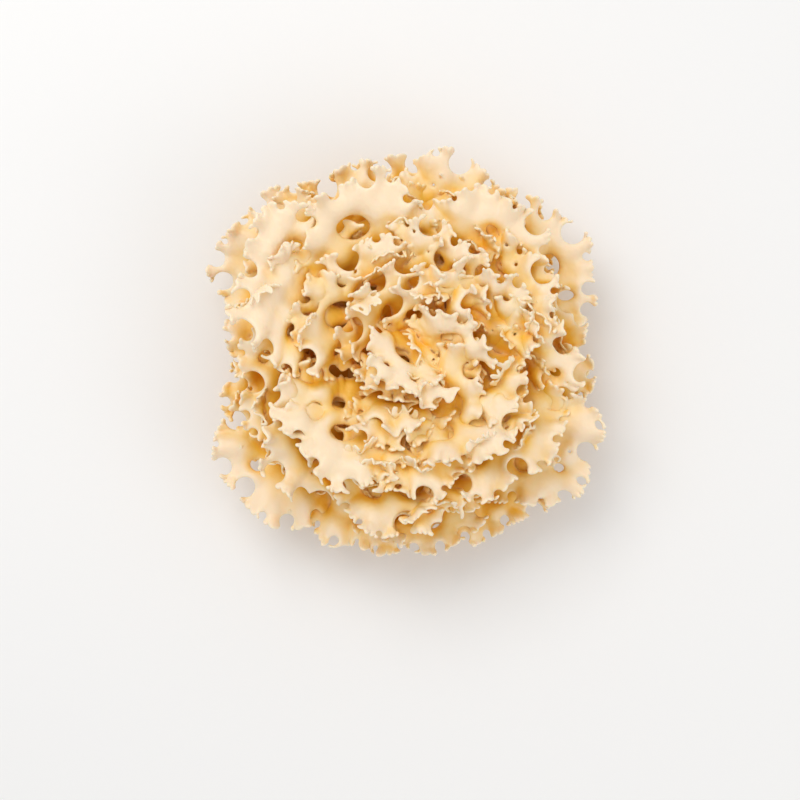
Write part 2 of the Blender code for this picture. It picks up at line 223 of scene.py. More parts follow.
def cut_windows(frond, rng):
    windows = []
    for window in range(rng.choice(WINDOW_COUNTS)):
        sizes = GREAT_WINDOW if window == 0 else SMALL_WINDOW
        for _ in range(WINDOW_TRIES):
            x, y = face_spot(frond, rng, WINDOW_SPOTS)
            radius = rng.uniform(*sizes) * math.sqrt(frond.length / USUAL_LENGTH)
            clear = all(math.hypot(x - hole[0], y - hole[1]) > radius + hole[2] + WINDOW_FRAME
                        for hole in windows + frond.bays)
            if y > WINDOW_START * frond.length and clear:
                windows.append((x, y, radius))
                break
    return windows


# %% [markdown]
# ## A frond laid flat
# Every frond draws its width, lobes, bays and windows from a seed of its own, so it can be drawn again alone.
# A crest is a low and broad frond with small bays and no windows. The plain solid makes these same draws in
# this order, so whatever is finer has to be drawn after them.

# %% The plain form of a frond or a crest
CENTRE_SHARE = 0.50
WIDTH_SHARE = (0.44, 0.58)
BEHIND_SHARE = (0.22, 0.32)
NECK = 5.0
ROOT_DEPTH = 2.0
CREST_CENTRE_SHARE = 0.25
CREST_WIDTH_SHARE = (0.60, 0.80)
CREST_NECK_SHARE = 0.40
CREST_ROOT_DEPTH = 0.2
CREST_WILDNESS = 0.5
LOBE_SWING = (0.065, 0.05)
MARGIN_POINTS = 1441
CUP = (-0.010, 0.016)
TURN = 6.28
Ruffle = namedtuple("Ruffle", "height spacing reach")
BROAD_RUFFLE = Ruffle((1.8, 3.4), (19, 27), 8.0)


def draw_wave(rng, height, spacing):
    return rng.uniform(*height), TURN / rng.uniform(*spacing), rng.uniform(0, TURN)


def draw_ruffle(rng, ruffle):
    return (*draw_wave(rng, ruffle.height, ruffle.spacing), ruffle.reach)


def trace_margin(frond):
    frond.angle = np.linspace(-math.pi, math.pi, MARGIN_POINTS)
    frond.radius = fan_radius(frond, frond.angle)
    across = frond.radius * np.sin(frond.angle)
    along = frond.radius * np.cos(frond.angle)
    frond.arc = np.concatenate([[0.0], np.cumsum(np.hypot(np.diff(across), np.diff(along)))])
    frond.arc -= np.interp(0.0, frond.angle, frond.arc)
    frond.slope = frond.radius / np.hypot(frond.radius, np.gradient(frond.radius, frond.angle))


def draw_plain_form(length, rng, crest):
    frond = SimpleNamespace(length=length, crest=crest, centre=CENTRE_SHARE * length, neck=NECK,
                            root_depth=ROOT_DEPTH, wildness=1.0)
    frond.half_width = length * rng.uniform(*WIDTH_SHARE)
    frond.behind = length * rng.uniform(*BEHIND_SHARE)
    if crest:
        frond.centre = CREST_CENTRE_SHARE * length
        frond.neck = CREST_NECK_SHARE * length
        frond.root_depth = CREST_ROOT_DEPTH
        frond.wildness = CREST_WILDNESS
        frond.half_width = length * rng.uniform(*CREST_WIDTH_SHARE)
    frond.lobing = [(rng.choice((5, 6, 7)), LOBE_SWING[0], rng.uniform(0, TURN)),
                    (rng.choice((3, 4)), LOBE_SWING[1], rng.uniform(0, TURN))]
    trace_margin(frond)
    frond.bays = cut_bays(frond, rng)
    frond.windows = [] if crest else cut_windows(frond, rng)
    frond.ruffles = [draw_ruffle(rng, BROAD_RUFFLE)]
    frond.cup = rng.uniform(*CUP)
    return frond


plain = draw_plain_form(places[12].length, random.Random(places[12].seed), crest=False)
print("a rim frond of", round(plain.length), "mm:", len(plain.bays), "bays,", len(plain.windows), "windows")

# %% [markdown]
# ## The finer form, which the plain solid leaves out
# Windows and bays are seldom true circles, so each is pressed a little oval, and the bays sink a little
# deeper, so that the lobes between them flare. The margin has rounded scallops about 3 mm wide whose spacing
# drifts, and it is waved at three scales, each dying away inward. Broad low waves and a fine grain keep the
# face from looking pressed from a sheet.

# %% Random draws of the fine form
WINDOW_SQUASH = (0.62, 0.92)
BAY_SQUASH = (0.80, 1.0)
BAY_DEEPER = 0.16
PINHOLE_COUNTS = (0, 1, 2, 3)
PINHOLE_SPOTS = Spots(2.2, (0.5, 0.85))
PINHOLE = (0.4, 0.8)
TOOTH = (2.6, 3.5)
DRIFTS = 3
DRIFT = (0.3, 0.7)
DRIFT_SPACING = (8, 18)
FINE_RUFFLES = [Ruffle((1.2, 2.0), (9, 12), 4.0), Ruffle((0.75, 1.25), (5, 7), 2.4)]
WAVES = 6
WAVE_SPACING = (8, 19)
GRAIN_SPACING = (2.4, 5.0)
CURL = (0.0, 2.0)


def deepened(frond, bay):
    x, y, radius = bay
    share = 1 - BAY_DEEPER * radius / math.hypot(x, y - frond.centre)
    return x * share, frond.centre + (y - frond.centre) * share, radius


def draw_fine_form(frond, rng):
    frond.bays = [deepened(frond, bay) for bay in frond.bays]
    frond.squash = [(rng.uniform(0, TURN / 2), rng.uniform(*WINDOW_SQUASH)) for _ in frond.windows]
    frond.squash += [(rng.uniform(0, TURN / 2), rng.uniform(*BAY_SQUASH)) for _ in frond.bays]
    pinholes = range(0 if frond.crest else rng.choice(PINHOLE_COUNTS))
    frond.pinholes = [(*face_spot(frond, rng, PINHOLE_SPOTS), rng.uniform(*PINHOLE)) for _ in pinholes]
    frond.tooth = rng.uniform(*TOOTH)
    frond.drift = [draw_wave(rng, DRIFT, DRIFT_SPACING) for _ in range(DRIFTS)]
    frond.ruffles += [draw_ruffle(rng, ruffle) for ruffle in FINE_RUFFLES]
    frond.waves = [draw_wave(rng, (0, TURN), WAVE_SPACING) for _ in range(WAVES)]
    frond.grain = [draw_wave(rng, (0, TURN), GRAIN_SPACING) for _ in range(WAVES)]
    frond.curl = rng.uniform(*CURL)


def draw_frond(length, seed, crest=False):
    rng = random.Random(seed)
    frond = draw_plain_form(length, rng, crest)
    draw_fine_form(frond, rng)
    return frond


sample = draw_frond(places[12].length, places[12].seed)
print("its scallops:", round(sample.tooth, 1), "mm wide, its pinholes:", len(sample.pinholes))

# %% [markdown]
# ## Distance to the edge
# To cut such an outline cleanly, a field tells for any point how far it lies from the edge, negative inside.
# The fan, the neck at the root and every hole each have a simple distance, and a soft minimum or maximum
# joins two of them with a small fillet, just as flesh rounds off where two curves meet.

# %% Soft joins and the field of a frond
NECK_FLARE = 0.16
NECK_SOFT = 5.0
ROOT_SOFT = 1.0
HOLE_SOFT_SHARE = 0.7
HOLE_SOFT = 2.1
PINHOLE_SOFT = 0.2
SCALLOP = 0.95
SCALLOP_LOSS = 0.40
SCALLOP_START = 0.4
SCALLOP_FADE = 0.8
SCALLOP_DEPTH = 1.5


def soft_least(a, b, soft):
    part = np.clip(0.5 + 0.5 * (b - a) / soft, 0, 1)
    return b * (1 - part) + a * part - soft * part * (1 - part)


def soft_most(a, b, soft):
    return -soft_least(-a, -b, soft)


def fan_distance(frond, x, y):
    angle = np.arctan2(x, y - frond.centre)
    margin = np.hypot(x, y - frond.centre) - np.interp(angle, frond.angle, frond.radius)
    margin = margin * np.interp(angle, frond.angle, frond.slope)
    share = np.clip(y / frond.centre, 0, 1)
    neck = np.maximum(np.abs(x) - (frond.neck + NECK_FLARE * frond.length * share ** 1.5), y - frond.centre)
    return soft_most(soft_least(margin, neck, NECK_SOFT), -y - frond.root_depth, ROOT_SOFT)


def hole_distance(x, y, hole, shape):
    turn, squash = shape
    along = (x - hole[0]) * math.cos(turn) + (y - hole[1]) * math.sin(turn)
    across = (y - hole[1]) * math.cos(turn) - (x - hole[0]) * math.sin(turn)
    return np.hypot(along, across / squash) - hole[2]


def teeth_along(frond, x, y):
    arc = np.interp(np.arctan2(x, y - frond.centre), frond.angle, frond.arc)
    return arc, arc + sum(size * np.sin(pace * arc + turn) for size, pace, turn in frond.drift)


def edge_distance(frond, x, y):
    fan = fan_distance(frond, x, y)
    edge = fan
    for hole, shape in zip(frond.windows + frond.bays, frond.squash):
        soft = min(HOLE_SOFT_SHARE * hole[2], HOLE_SOFT)
        edge = soft_most(edge, -hole_distance(x, y, hole, shape), soft)
    _, teeth = teeth_along(frond, x, y)
    at_rim = np.exp(-np.clip(-fan - SCALLOP_START, 0, None) / SCALLOP_FADE)
    at_rim = at_rim * np.exp(-(edge / SCALLOP_DEPTH) ** 2)
    edge = edge - (SCALLOP * np.abs(np.sin(np.pi * teeth / frond.tooth)) - SCALLOP_LOSS) * at_rim
    for hole_x, hole_y, radius in frond.pinholes:
        edge = soft_most(edge, radius - np.hypot(x - hole_x, y - hole_y), PINHOLE_SOFT)
    return edge


midrib = np.linspace(0.2, 1.0, 5) * sample.length
print("edge field along its midrib, mm:", np.round(edge_distance(sample, np.zeros(5), midrib), 1))

# %% [markdown]
# ## Waves of the face and the margin
# The margin grows faster than the face, so it has to ruffle. Waves run along it and fade inward. Each window
# is a small funnel: its edge dips below the face, which is what makes the windows look deep and soft.

# %% Height of the waved blade above its flat plan
WINDOW_DIP = 2.8
BAY_DIP = 1.1
DIP_REACH = 2.3
CURL_REACH = 2.4
SCALLOP_WAVES = [(0.55, 2.2, 1), (-0.28, 1.5, 2)]
WAVE_HEIGHT = 0.30
GRAIN_HEIGHT = 0.015
RIM_GRAIN_HEIGHT = 0.10
GRAIN_REACH = 2.5
STILL_ROOT = 0.15
ROOT_SHARE = 0.42
STILL_CENTRE = 0.3
SEAM_WIDTH = 0.7


def straight_wave(x, y, wave):
    turn, pace, start = wave
    return np.cos(pace * (x * math.cos(turn) + y * math.sin(turn)) + start)


def wave_fade(frond, x, y):
    from_root = np.clip(y / (ROOT_SHARE * frond.length) - STILL_ROOT, 0, 1)
    from_centre = np.clip(np.hypot(x, y - frond.centre) / (STILL_CENTRE * frond.length), 0, 1)
    seam = np.clip((math.pi - np.abs(np.arctan2(x, y - frond.centre))) / SEAM_WIDTH, 0, 1)
    return from_root * from_centre ** 2 * seam


def wave_height(frond, x, y):
    inside = np.maximum(-fan_distance(frond, x, y), 0)
    arc, teeth = teeth_along(frond, x, y)
    fade = wave_fade(frond, x, y)
    rise = frond.curl * np.exp(-inside / CURL_REACH) * fade
    for height, pace, turn, reach in frond.ruffles:
        rise += frond.wildness * height * np.exp(-inside / reach) * np.cos(pace * arc + turn) * fade
    for height, reach, beats in SCALLOP_WAVES:
        rise += height * np.exp(-inside / reach) * np.cos(beats * np.pi * teeth / frond.tooth) * fade
    for wave in frond.waves:
        rise += WAVE_HEIGHT * straight_wave(x, y, wave)
    for wave in frond.grain:
        rise += (GRAIN_HEIGHT + RIM_GRAIN_HEIGHT * np.exp(-inside / GRAIN_REACH)) * straight_wave(x, y, wave)
    for k, (hole, shape) in enumerate(zip(frond.windows + frond.bays, frond.squash)):
        off = np.clip(hole_distance(x, y, hole, shape), 0, None)
        rise -= (WINDOW_DIP if k < len(frond.windows) else BAY_DIP) * np.exp(-off / DIP_REACH)
    return rise


sample_rim = wave_height(sample, sample.radius * np.sin(sample.angle),
                         sample.centre + sample.radius * np.cos(sample.angle))
print("its rim waves between, mm:", round(float(sample_rim.min()), 1), round(float(sample_rim.max()), 1))

# %% [markdown]
# ## Cutting the sheet
# A grid of triangles covers the frond, coarse over the open face and split once near every edge and once more
# at the scallops. Grid points that lie close to the edge are first moved onto it, then each triangle that the
# edge still crosses is cut along it. A Boolean cut or a filled curve would do it too, but this keeps the
# triangles even, and even triangles wave and shade well.

# %% A triangular grid, split near the edge
Band = namedtuple("Band", "edge fan")
EDGE_BAND = Band(2.4, 999.0)
RIM_BAND = Band(1.1, 2.2)
GRID_SIDE = 0.95
GRID_START = -2.5
GRID_END = 1.12


def triangle_grid(frond, step):
    xs = np.arange(-GRID_SIDE * frond.length, GRID_SIDE * frond.length, step)
    ys = np.arange(GRID_START, GRID_END * frond.length, step * math.sqrt(0.75))
    x, y = np.meshgrid(xs, ys)
    odd = np.arange(len(ys)) % 2 == 1
    x = (x + odd[:, None] * step / 2).ravel()
    index = np.arange(x.size).reshape(len(ys), len(xs))
    a, b, c, d = index[:-1, :-1], index[:-1, 1:], index[1:, :-1], index[1:, 1:]
    even = np.broadcast_to(~odd[:-1, None], a.shape)
    halves = [(even, a, b, c), (even, b, d, c), (~even, a, b, d), (~even, a, d, c)]
    corners = np.concatenate([np.stack([p[rows], q[rows], r[rows]], 1) for rows, p, q, r in halves])
    return x, y.ravel(), corners


def split_marked(x, y, corners, marked):
    pairs = np.sort(np.stack([corners[:, [0, 1]], corners[:, [1, 2]], corners[:, [2, 0]]], 1), axis=2)
    ends, where = np.unique(pairs.reshape(-1, 2), axis=0, return_inverse=True)
    where = where.reshape(-1, 3)
    split = np.zeros(len(ends), bool)
    split[where[marked].ravel()] = True
    middle = np.full(len(ends), -1)
    middle[split] = len(x) + np.arange(split.sum())
    x = np.concatenate([x, x[ends[split]].mean(1)])
    y = np.concatenate([y, y[ends[split]].mean(1)])
    halfway = middle[where]
    cuts = (halfway >= 0).sum(1)
    parts = [corners[cuts == 0]]
    for k in range(3):
        a, b, c = corners[:, k], corners[:, (k + 1) % 3], corners[:, (k + 2) % 3]
        ab, bc, ca = halfway[:, k], halfway[:, (k + 1) % 3], halfway[:, (k + 2) % 3]
        one = (cuts == 1) & (ab >= 0)
        parts += [np.stack([a, ab, c], 1)[one], np.stack([ab, b, c], 1)[one]]
        two = (cuts == 2) & (ca < 0)
        parts += [np.stack([a, ab, c], 1)[two], np.stack([ab, bc, c], 1)[two], np.stack([ab, b, bc], 1)[two]]
        parts.append(np.stack([a, ab, ca], 1)[cuts == 3])
    parts.append(halfway[cuts == 3])
    return x, y, np.concatenate(parts)


def refined_grid(frond, step):
    x, y, corners = triangle_grid(frond, 2 * step)
    for finer in (EDGE_BAND, RIM_BAND):
        edge, fan = edge_distance(frond, x, y), fan_distance(frond, x, y)
        near = (np.abs(edge) < finer.edge * step) & (np.abs(fan) < finer.fan * step)
        x, y, corners = split_marked(x, y, corners, near[corners].any(1))
    return x, y, corners


sample_grid = refined_grid(sample, 1.0)
print("its grid at 1 mm:", len(sample_grid[0]), "points,", len(sample_grid[2]), "triangles")

# %% Grid points moved onto the edge, and triangles cut along it
MOVED_WITHIN = 0.28
ON_EDGE = 0.05
PROBE = 0.02
LEAST_STEEPNESS = 0.25


def edge_slope(frond, x, y):
    slope_x = (edge_distance(frond, x + PROBE, y) - edge_distance(frond, x - PROBE, y)) / (2 * PROBE)
    slope_y = (edge_distance(frond, x, y + PROBE) - edge_distance(frond, x, y - PROBE)) / (2 * PROBE)
    return slope_x, slope_y


def move_to_edge(frond, x, y, step):
    edge = edge_distance(frond, x, y)
    for _ in range(2):
        near = np.abs(edge) < MOVED_WITHIN * step
        slope_x, slope_y = edge_slope(frond, x[near], y[near])
        steep = np.maximum(slope_x ** 2 + slope_y ** 2, LEAST_STEEPNESS)
        x[near] = x[near] - edge[near] * slope_x / steep
        y[near] = y[near] - edge[near] * slope_y / steep
        edge = edge_distance(frond, x, y)
    edge[np.abs(edge) < ON_EDGE * step] = 0.0
    return edge


def cut_triangles(x, y, corners, edge):
    side = np.sign(edge[corners])
    whole = corners[(side <= 0).all(1) & (side < 0).any(1)]
    mixed = (side < 0).any(1) & (side > 0).any(1)
    corner, side = corners[mixed], side[mixed]
    pairs = np.sort(np.concatenate([corner[:, [k, (k + 1) % 3]] for k in range(3)]), axis=1)
    crossed = edge[pairs[:, 0]] * edge[pairs[:, 1]] < 0
    ends, where = np.unique(pairs[crossed], axis=0, return_inverse=True)
    share = edge[ends[:, 0]] / (edge[ends[:, 0]] - edge[ends[:, 1]])
    cut = np.full(len(pairs), -1)
    cut[crossed] = len(x) + where.reshape(-1)
    cut = cut.reshape(3, -1).T
    x = np.concatenate([x, x[ends[:, 0]] * (1 - share) + x[ends[:, 1]] * share])
    y = np.concatenate([y, y[ends[:, 0]] * (1 - share) + y[ends[:, 1]] * share])
    parts = [whole]
    for i, j, k in ((0, 1, 2), (1, 2, 0), (2, 0, 1)):
        inner = side[:, i] < 0
        alone = inner & (side[:, j] > 0) & (side[:, k] > 0)
        parts.append(np.stack([corner[alone, i], cut[alone, i], cut[alone, k]], 1))
        touch = inner & (side[:, j] > 0) & (side[:, k] == 0)
        parts.append(np.stack([corner[touch, i], cut[touch, i], corner[touch, k]], 1))
        touch = inner & (side[:, k] > 0) & (side[:, j] == 0)
        parts.append(np.stack([corner[touch, i], corner[touch, j], cut[touch, k]], 1))
        two = inner & (side[:, j] < 0) & (side[:, k] > 0)
        parts.append(np.stack([corner[two, i], corner[two, j], cut[two, j]], 1))
        parts.append(np.stack([corner[two, i], cut[two, j], cut[two, k]], 1))
    return x, y, np.concatenate(parts)


# %% [markdown]
# ## One sheet without crumbs
# Teeth and pinholes can cut off a crumb of the sheet. Giving every point the lowest number among its
# neighbours, over and over, labels each connected part, and only the largest part is kept.

# %% The largest connected part, its margin and evened-out points
EVEN_ROUNDS = 3


def part_labels(count, linked):
    label = np.arange(count)
    while True:
        low = label[linked].min(1)
        fresh = label.copy()
        for k in range(linked.shape[1]):
            np.minimum.at(fresh, linked[:, k], low)
        fresh = fresh[fresh]
        if (fresh == label).all():
            return label
        label = fresh


def cut_sheet(frond, step):
    x, y, corners = refined_grid(frond, step)
    edge = move_to_edge(frond, x, y, 0.5 * step)
    x, y, triangles = cut_triangles(x, y, corners, edge)
    label = part_labels(len(x), triangles)[triangles[:, 0]]
    triangles = triangles[label == np.argmax(np.bincount(label))]
    used, triangles = np.unique(triangles, return_inverse=True)
    return x[used], y[used], triangles.reshape(-1, 3)


def sheet_edges(count, triangles):
    directed = np.concatenate([triangles[:, [k, (k + 1) % 3]] for k in range(3)]).astype(np.int64)
    forward = directed[:, 0] * count + directed[:, 1]
    back = directed[:, 1] * count + directed[:, 0]
    margin = directed[~np.isin(forward, back)]
    return margin, np.unique(np.sort(directed, axis=1), axis=0)


def even_out(x, y, fixed, edges):
    a, b = edges[:, 0], edges[:, 1]
    links = np.bincount(edges.ravel(), minlength=len(x))
    for _ in range(EVEN_ROUNDS):
        for values in (x, y):
            mean = (np.bincount(a, values[b], len(x)) + np.bincount(b, values[a], len(x))) / links
            values[~fixed] = 0.5 * (values[~fixed] + mean[~fixed])


sample_sheet = cut_sheet(sample, 1.0)
print("its sheet at 1 mm:", len(sample_sheet[0]), "points,", len(sample_sheet[2]), "triangles")

# %% [markdown]
# ## From a flat sheet to a living blade
# The sheet is cupped across, then bent along an arc as if rolled on a drum, so that it leaves the stem
# steeply and ends nearly level. Both bends keep lengths, as a real blade of even growth does. Then it gets
# its thickness: half a millimetre at the rim, 2 mm in the face, more at the root, and less in a small crest.
# Solidify gives one thickness only, so the two faces and the narrow band at the rim are made here.

# %% Bending, and the closed shell of one frond
RIM_HALF = 0.24
LIP_HALF = 0.30
LIP_REACH = 1.5
FACE_HALF = 0.40
FACE_REACH = 0.6
INNER_HALF = 0.35
INNER_REACH = 5.0
ROOT_HALF = 1.2
ROOT_REACH = 0.16
THIN_SHARE = 0.5
THIN_LENGTH = 60.0


def bend_out(place, cup, x, y, rise):
    rise = rise + (1 - np.cos(cup * x)) / cup
    turn = place.bend * y / place.length
    arm = place.length / place.bend
    side = np.sin(cup * x) / cup
    ahead = (arm + rise) * np.sin(turn)
    up = (arm + rise) * np.cos(turn) - arm
    level = place.root + side[:, None] * place.across + ahead[:, None] * place.along
    return level + up[:, None] * place.normal


def point_normals(points, triangles):
    corner = points[triangles]
    flat = np.cross(corner[:, 1] - corner[:, 0], corner[:, 2] - corner[:, 0])
    total = np.stack([sum(np.bincount(triangles[:, k], flat[:, axis], len(points)) for k in range(3))
                      for axis in range(3)], 1)
    return total / np.maximum(np.linalg.norm(total, axis=1), 1e-9)[:, None]


def half_thickness(frond, x, y, inside):
    lip = sum(np.exp(-np.clip(hole_distance(x, y, hole, shape), 0, None) / LIP_REACH)
              for hole, shape in zip(frond.windows, frond.squash))
    rounding = np.sqrt(np.clip(1 - (1 - np.clip(inside / FACE_REACH, 0, 1)) ** 2, 0, 1))
    root = np.exp(-y / (ROOT_REACH * frond.length)) * np.clip(inside / 2, 0, 1)
    half = RIM_HALF + LIP_HALF * np.clip(lip, 0, 1) + FACE_HALF * rounding
    half = half + INNER_HALF * (1 - np.exp(-inside / INNER_REACH)) + ROOT_HALF * root
    return half * min(1.0, THIN_SHARE + frond.length / THIN_LENGTH)


def frond_shell(place, frond, step):
    x, y, triangles = cut_sheet(frond, step)
    margin, edges = sheet_edges(len(x), triangles)
    fixed = np.zeros(len(x), bool)
    fixed[margin.ravel()] = True
    even_out(x, y, fixed, edges)
    inside = np.where(fixed, 0, np.maximum(-edge_distance(frond, x, y), 0))
    middle = bend_out(place, frond.cup, x, y, wave_height(frond, x, y))
    normal = point_normals(middle, triangles)
    half = half_thickness(frond, x, y, inside)[:, None]
    a, b = margin[:, 0], margin[:, 1]
    far = len(x)
    faces = np.concatenate([triangles, triangles[:, ::-1] + far, np.stack([b, a, a + far], 1),
                            np.stack([b, a + far, b + far], 1)])
    return np.concatenate([middle + normal * half, middle - normal * half]), faces, middle[fixed]


sample_shell = frond_shell(places[12], sample, 1.0)
print("its closed shell at 1 mm:", len(sample_shell[1]), "triangles")

# %% [markdown]
# ## Frondlets
# The face of a real frond isn't bare: here and there a low crest with a scalloped edge stands up from it.
# The functions that draw a frond draw the crest too, and it is rooted just under its parent's face, well
# inside the margin. Crests made as bumps of the face would be cheaper, but would have no edge.

# %% Frondlets rooted in the face of a frond
FRONDLET_LENGTH = (7.0, 12.0)
FRONDLET_BEND = (12, 40)
FRONDLET_LEAN = (58, 84)
FRONDLET_TURN = 0.7
FRONDLET_SUNK = 0.6
FRONDLET_CLEAR = 2.2
FRONDLET_SPOTS = Spots(1.9, (0.25, 0.80))
FRONDLET_TRIES = 40
NEARBY = 0.5
FRONDLETS = {"skirt": 0, "rim": 1, "shoulder": 2, "crown": 1, "top": 1, "apex": 0}


def face_point(place, frond, x, y):
    x, y = np.array([x]), np.array([y])
    return bend_out(place, frond.cup, x, y, wave_height(frond, x, y))[0]


def frondlet_place(place, frond, name, rng):
    for _ in range(FRONDLET_TRIES):
        x, y = face_spot(frond, rng, FRONDLET_SPOTS)
        if edge_distance(frond, np.array([x]), np.array([y]))[0] < -FRONDLET_CLEAR:
            break
    else:
        return None
    here = face_point(place, frond, x, y)
    ahead = face_point(place, frond, x, y + NEARBY) - here
    ahead /= np.linalg.norm(ahead)
    side = face_point(place, frond, x + NEARBY, y) - here
    upward = np.cross(side, ahead)
    upward *= np.sign(upward[2]) / np.linalg.norm(upward)
    side = np.cross(ahead, upward)
    turn = rng.uniform(-FRONDLET_TURN, FRONDLET_TURN)
    lean = math.radians(rng.uniform(*FRONDLET_LEAN))
    heading = math.cos(turn) * ahead + math.sin(turn) * side
    along = math.cos(lean) * heading + math.sin(lean) * upward
    across = np.cross(upward, heading)
    bend = math.radians(rng.uniform(*FRONDLET_BEND))
    return frond_place(name, here - FRONDLET_SUNK * upward, along, across / np.linalg.norm(across), bend,
                       rng.uniform(*FRONDLET_LENGTH), rng.randrange(10 ** 6))


def grow_frond(place, frondlets, step):
    frond = draw_frond(place.length, place.seed)
    shells = [(place.name, *frond_shell(place, frond, step))]
    rng = random.Random(place.seed + 1)
    for k in range(frondlets):
        small_place = frondlet_place(place, frond, f"{place.name}_crest_{k}", rng)
        if small_place is not None:
            small = draw_frond(small_place.length, small_place.seed, crest=True)
            shells.append((small_place.name, *frond_shell(small_place, small, step)))
    return shells


print("with a crest:", [shell[0] for shell in grow_frond(places[12], 1, 1.0)])

# %% [markdown]
# ## Growing together
# Loose shells that pass through each other would show hard seams, and light inside the flesh would stop at
# them. A Boolean union of the whole collection turns each group into one skin. The head is grown in groups,
# because one skin for all of it would be too heavy to handle. Where two wavy blades cross, a union can close
# off a bubble or a crumb, so every part smaller than a frond is dropped afterwards.

# %% Mesh objects and their union
CRUMB = 1000


def mesh_object(name, points, faces):
    mesh = bpy.data.meshes.new(name)
    mesh.vertices.add(len(points))
    mesh.vertices.foreach_set("co", (points * MM).astype(np.float32).ravel())
    mesh.loops.add(faces.size)
    mesh.loops.foreach_set("vertex_index", faces.astype(np.int32).ravel())
    mesh.polygons.add(len(faces))
    mesh.polygons.foreach_set("loop_start", np.arange(0, faces.size, 3, dtype=np.int32))
    mesh.update()
    return bpy.data.objects.new(name, mesh)


def drop_crumbs(mesh):
    edges = np.empty(len(mesh.edges) * 2, np.int32)
    mesh.edges.foreach_get("vertices", edges)
    label = part_labels(len(mesh.vertices), edges.reshape(-1, 2))
    crumb = np.bincount(label, minlength=len(label))[label] < CRUMB
    if crumb.any():
        whole = bmesh.new()
        whole.from_mesh(mesh)
        whole.verts.ensure_lookup_table()
        bmesh.ops.delete(whole, geom=[whole.verts[k] for k in np.flatnonzero(crumb)], context="VERTS")
        whole.to_mesh(mesh)
        whole.free()


def grow_together(name, items):
    others = bpy.data.collections.new("others")
    bpy.context.scene.collection.children.link(others)
    first = items[0]
    bpy.context.scene.collection.objects.link(first)
    for item in items[1:]:
        others.objects.link(item)
    join = first.modifiers.new("Grown together", "BOOLEAN")
    join.operation = "UNION"
    join.operand_type = "COLLECTION"
    join.collection = others
    join.solver = "MANIFOLD"
    graph = bpy.context.evaluated_depsgraph_get()
    skin = bpy.data.meshes.new_from_object(first.evaluated_get(graph))
    for item in items[1:]:
        bpy.data.objects.remove(item, do_unlink=True)
    bpy.data.collections.remove(others)
    first.modifiers.clear()
    drop_crumbs(skin)
    first.data = skin
    first.name = name
    skin.name = name
    return first


# %% [markdown]
# ## The groups of the head
# Neighbouring fronds share a group, so that most crossings fall inside one skin. Each group replaces part of
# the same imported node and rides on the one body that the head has.

# %% Every frond, grouped and joined
STEP = 0.89
GROUPS = [
    ("skirt_fronds", ["skirt"], 0, 10),
    ("rim_fronds_a", ["rim"], 0, 5),
    ("rim_fronds_b", ["rim"], 5, 10),
    ("rim_fronds_c", ["rim"], 10, 15),
    ("shoulder_fronds_a", ["shoulder"], 0, 7),
    ("shoulder_fronds_b", ["shoulder"], 7, 13),
    ("crown_fronds", ["crown"], 0, 11),
    ("heart_fronds", ["top", "apex"], 0, 8),
]


def group_shells(rings, first, last):
    shells = []
    for place in places:
        ring, number = place.name.rsplit("_", 1)
        if ring in rings and first <= int(number) < last:
            shells += grow_frond(place, FRONDLETS[ring], STEP)
    return shells


skins = []
rim_points = []
for name, rings, first, last in GROUPS:
    shells = group_shells(rings, first, last)
    rim_points += [shell[3] for shell in shells]
    skin = grow_together(name, [mesh_object(shell[0], shell[1], shell[2]) for shell in shells])
    skins.append(skin)
    print(name, "from", len(shells), "shells:", len(skin.data.polygons), "faces")
print("all fronds:", sum(len(skin.data.polygons) for skin in skins), "faces")

# %% [markdown]
# ## The stem
# The stem is stout and cut flat. On a real head it reads as a bundle of branches grown together, with ridges
# that run up it, and its cut is dry and tan. Sculpting would be one way. Here it is turned from the packed
# part's own profile, then swollen and furrowed by a few sines, so that its size stays known.

# %% The stem, turned and furrowed
STEM_PROFILE = [(0.0, 36.0), (13.0, 35.0), (23.0, 31.0), (28.5, 24.0), (27.0, 15.0), (24.0, 8.0),
                (25.5, 3.0), (25.0, 0.0), (0.0, 0.0)]
STEM_SIDES = 160
STEM_ROWS = 64
SWELLS = [(1.1, 5, 0.7), (0.7, 9, 2.1), (0.5, 17, 4.0)]
TWIST = 0.015
RIDGES = 16
RIDGE_HEIGHT = 1.7
RIDGE_DRIFT = 0.9
RIDGE_ROUNDNESS = 0.6
RIPPLE_HEIGHT = 0.35
RIPPLE_PACE = 0.9
RIPPLE_LEAN = 1.3
SUNK_IN = 1.3
CUT_SHARE = 0.45
CUT_REACH = 2.0
CENTRE_REACH = 12.0


def stem_points():
    radius = np.array([point[0] for point in STEM_PROFILE])
    height = np.array([point[1] for point in STEM_PROFILE])
    way = np.concatenate([[0.0], np.cumsum(np.hypot(np.diff(radius), np.diff(height)))])
    rows = np.linspace(0, way[-1], STEM_ROWS)[1:-1]
    soft = sum(np.interp(rows + shift, way, radius) for shift in (-1.0, 0.0, 1.0)) / 3
    level = np.interp(rows, way, height)
    turn = np.linspace(0, 2 * math.pi, STEM_SIDES, endpoint=False)
    swell = sum(height * np.sin(number * turn + start) for height, number, start in SWELLS)[None, :]
    twist = turn[None, :] + TWIST * level[:, None]
    ridge = np.abs(np.sin(RIDGES / 2 * twist + RIDGE_DRIFT * np.sin(3 * twist))) ** RIDGE_ROUNDNESS
    ridge = RIDGE_HEIGHT * ridge
    ripple = RIPPLE_HEIGHT * np.sin(RIPPLE_PACE * level[:, None] + RIPPLE_LEAN * np.sin(4 * turn)[None, :])
    side = np.clip(CUT_SHARE + level / CUT_REACH, 0, 1) * np.clip(soft / CENTRE_REACH, 0, 1)
    out = np.maximum(soft[:, None] + side[:, None] * (swell + ridge + ripple - SUNK_IN), 0.2)
    x, y = out * np.cos(turn), out * np.sin(turn)
    z = np.broadcast_to(level[:, None], x.shape)
    return np.stack([x, y, z], -1)


